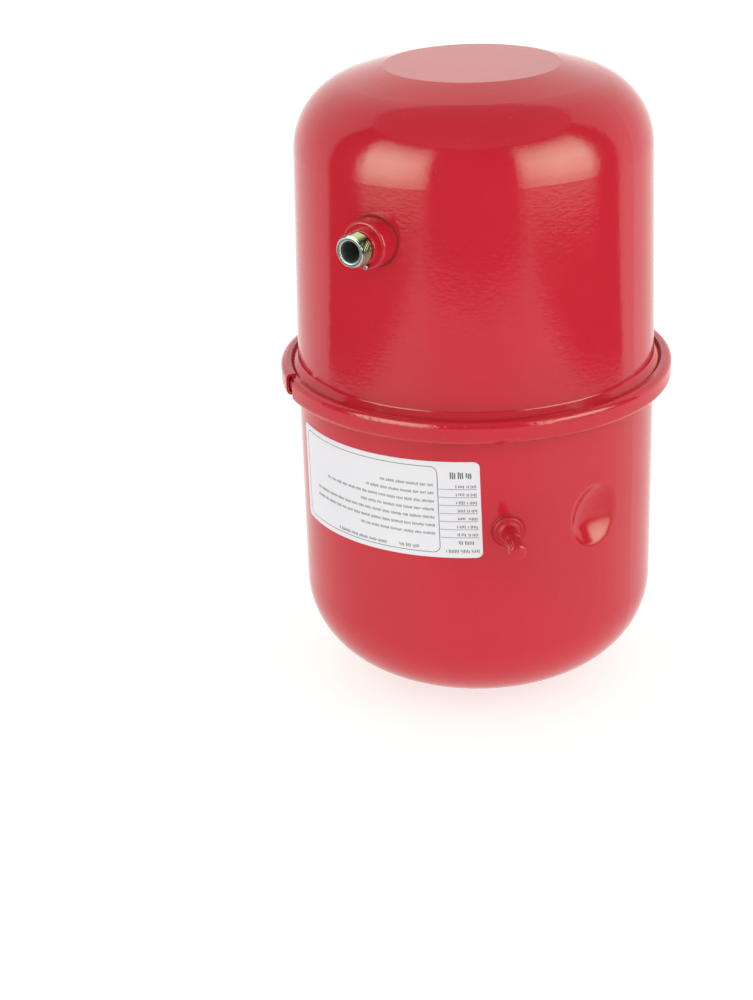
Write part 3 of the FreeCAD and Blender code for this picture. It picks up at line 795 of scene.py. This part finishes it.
make_water_nozzle()
make_valve_stem()
make_valve_cap()
make_weld(
    "boss_weld_bead", "boss_weld", BOSS_WELD_SHADED_RED, 0.0, NOZZLE_Z, BOSS_R, upper_wall_radius, 44,
)
make_weld(
    "valve_weld_bead", "valve_weld", VALVE_WELD_SHADED_RED, VALVE_AZIMUTH, VALVE_Z, VALVE_FLANGE_R,
    lower_wall_radius, 36,
)
make_core_spring()
make_diaphragm()
make_label_print()


# --- Studio ------------------------------------------------------------------------------
def glowing(name, brightness):
    """A material that only gives light."""
    material = bpy.data.materials.new(name)
    material.use_nodes = True
    tree = material.node_tree
    tree.nodes.clear()
    glow = tree.nodes.new("ShaderNodeEmission")
    glow.inputs["Strength"].default_value = brightness
    out = tree.nodes.new("ShaderNodeOutputMaterial")
    tree.links.new(glow.outputs["Emission"], out.inputs["Surface"])
    return material


def seen_in_gloss_only(card):
    """Stage a card that nothing but a reflection shows."""
    card.visible_camera = False
    card.visible_diffuse = False
    card.visible_transmission = False
    card.visible_shadow = False


def make_floor():
    corners = [Vector((x, y, -FLOOR_DROP)) for x, y in (
        (-FLOOR_HALF, -FLOOR_HALF), (FLOOR_HALF, -FLOOR_HALF),
        (FLOOR_HALF, FLOOR_HALF), (-FLOOR_HALF, FLOOR_HALF),
    )]
    floor = add_mesh("floor", corners, [(0, 1, 2, 3)])
    material, tree, shader = new_material("pale_floor")
    shader.inputs["Base Color"].default_value = (FLOOR_TONE, FLOOR_TONE, FLOOR_TONE, 1.0)
    shader.inputs["Roughness"].default_value = 0.7
    shader.inputs["Emission Color"].default_value = (*FLOOR_GLOW, 1.0)
    shader.inputs["Emission Strength"].default_value = 1.0
    floor.data.materials.append(material)


def studio_point(forward, side, height):
    """A point of the studio, from the vessel's axis towards the camera and to its right."""
    ahead = direction(CAMERA_AZIMUTH)
    right = direction(CAMERA_AZIMUTH + 90.0)
    return ahead * forward + right * side + Vector((0, 0, height))


def ground_card(name, outline):
    """A flat card just over the floor; outline is four (forward, side) points."""
    corners = [studio_point(forward, side, GROUND_LIFT) for forward, side in outline]
    return add_mesh(name, corners, [(0, 1, 2, 3)])


def make_dark_side():
    """The unlit side of the studio, behind the camera: only reflections show it."""
    steps, roof_steps = 40, 20
    turns = [
        CAMERA_AZIMUTH - DARK_HALF_ANGLE + 2 * DARK_HALF_ANGLE * i / steps
        for i in range(steps + 1)
    ]
    low = [direction(turn) * STUDIO_RADIUS + Vector((0, 0, STUDIO_FOOT)) for turn in turns]
    high = [direction(turn) * STUDIO_RADIUS + Vector((0, 0, STUDIO_HEIGHT)) for turn in turns]
    count = steps + 1
    faces = [(i, i + 1, count + i + 1, count + i) for i in range(steps)]
    wall = add_mesh("dark_wall", low + high, faces)
    # The ceiling covers the walls and ends in a curve behind the vessel.
    end_side = STUDIO_RADIUS * math.sin(math.radians(DARK_HALF_ANGLE))
    end_back = STUDIO_RADIUS * math.cos(math.radians(DARK_HALF_ANGLE))
    roof = list(high)
    for i in range(1, roof_steps):
        share = 1.0 - 2.0 * i / roof_steps
        back = CEILING_BACK + (end_back - CEILING_BACK) * share ** 2
        roof.append(studio_point(back, end_side * share, STUDIO_HEIGHT))
    ceiling = add_mesh("dark_ceiling", roof, [tuple(range(len(roof)))])
    # The ground is dark beside and in front of the table, up to the wall's two ends.
    slope = math.tan(math.radians(DARK_HALF_ANGLE - 90.0))
    ground = [
        ground_card(name, [
            (-slope * TABLE_HALF_WIDTH, sign * TABLE_HALF_WIDTH),
            (-slope * STUDIO_RADIUS, sign * STUDIO_RADIUS),
            (STUDIO_RADIUS, sign * STUDIO_RADIUS),
            (STUDIO_RADIUS, sign * TABLE_HALF_WIDTH),
        ])
        for sign, name in ((-1.0, "dark_left"), (1.0, "dark_right"))
    ]
    ground.append(ground_card("dark_front", [
        (TABLE_FRONT, -TABLE_HALF_WIDTH), (TABLE_FRONT, TABLE_HALF_WIDTH),
        (STUDIO_RADIUS, TABLE_HALF_WIDTH), (STUDIO_RADIUS, -TABLE_HALF_WIDTH),
    ]))
    dark = glowing("unlit_studio", DARK_WALL)
    for card in [wall] + ground:
        card.data.materials.append(dark)
        seen_in_gloss_only(card)
    ceiling.data.materials.append(glowing("unlit_ceiling", DARK_CEILING))
    seen_in_gloss_only(ceiling)


def make_ceiling_shade():
    """A disc overhead that only diffuse light sees, so that it dims the vessel's top a little."""
    corners = 40
    disc = [
        direction(360.0 * i / corners) * CEILING_SHADE_RADIUS + Vector((0, 0, STUDIO_HEIGHT))
        for i in range(corners)
    ]
    shade = add_mesh("ceiling_shade", disc, [tuple(range(corners))])
    shade.data.materials.append(glowing("shaded_ceiling", CEILING_SHADE))
    shade.visible_camera = False
    shade.visible_glossy = False


def make_softbox(name, side, outer):
    """A tall curved softbox that only reflections show, brightest in its middle."""
    across = 24
    corners, uvs = [], []
    for upward in (0.0, 1.0):
        level = Vector((0, 0, SOFTBOX_FOOT + SOFTBOX_HEIGHT * upward))
        for index in range(across + 1):
            share = index / across
            azimuth = CAMERA_AZIMUTH + side * (SOFTBOX_INNER + (outer - SOFTBOX_INNER) * share)
            corners.append(direction(azimuth) * SOFTBOX_RADIUS + level)
            uvs.append((share, upward))
    faces = [(i, i + 1, across + 2 + i, across + 1 + i) for i in range(across)]
    card = add_mesh(name, corners, faces)
    card.data.uv_layers.new(name="UVMap")
    for loop, data in zip(card.data.loops, card.data.uv_layers[0].data):
        data.uv = uvs[loop.vertex_index]
    material = glowing(name, SOFTBOX_GLOW)
    tree = material.node_tree
    place = tree.nodes.new("ShaderNodeTexCoord")
    parts = tree.nodes.new("ShaderNodeSeparateXYZ")
    tree.links.new(place.outputs["UV"], parts.inputs["Vector"])
    sideways = grey_ramp(tree, parts.outputs["X"], SOFTBOX_SIDEWAYS)
    rise = grey_ramp(tree, parts.outputs["Y"], SOFTBOX_UPWARD)
    bright = value_range(tree, multiply(tree, sideways, rise), DARK_WALL, SOFTBOX_GLOW)
    glow = tree.nodes["Emission"]
    glow.inputs["Color"].default_value = (*SOFTBOX_COLOUR, 1.0)
    tree.links.new(bright, glow.inputs["Strength"])
    card.data.materials.append(material)
    seen_in_gloss_only(card)


def make_side_light():
    """Soft light from the right, which evens out the diffuse shading and adds no reflection."""
    lamp = bpy.data.objects.new("side_light", bpy.data.lights.new("side_light", "AREA"))
    bpy.context.scene.collection.objects.link(lamp)
    lamp.data.energy = SIDE_LIGHT_POWER
    lamp.data.size = SIDE_LIGHT_SIZE
    away = direction(CAMERA_AZIMUTH + SIDE_LIGHT_AZIMUTH, SIDE_LIGHT_ELEVATION)
    lamp.location = away * SIDE_LIGHT_DISTANCE
    lamp.rotation_mode = "QUATERNION"
    lamp.rotation_quaternion = away.to_track_quat("Z", "Y")
    lamp.visible_glossy = False


def make_camera():
    camera = bpy.data.objects.new("camera", bpy.data.cameras.new("camera"))
    bpy.context.scene.collection.objects.link(camera)
    camera.data.lens = CAMERA_LENS
    camera.location = CAMERA_PLACE
    camera.rotation_mode = "QUATERNION"
    look = (CAMERA_AIM - CAMERA_PLACE).to_track_quat("-Z", "Y")
    camera.rotation_quaternion = look @ Quaternion((0, 0, 1), CAMERA_ROLL)
    bpy.context.scene.camera = camera


def make_world():
    world = bpy.data.worlds.new("studio")
    world.use_nodes = True
    background = world.node_tree.nodes["Background"]
    background.inputs["Color"].default_value = (*SURROUND_COLOUR, 1.0)
    background.inputs["Strength"].default_value = SURROUND
    bpy.context.scene.world = world
    bpy.context.scene.view_settings.view_transform = "Standard"


make_floor()
make_dark_side()
make_ceiling_shade()
make_softbox("softbox_right", 1.0, SOFTBOX_OUTER_RIGHT)
make_softbox("softbox_left", -1.0, SOFTBOX_OUTER_LEFT)
make_side_light()
make_world()
make_camera()
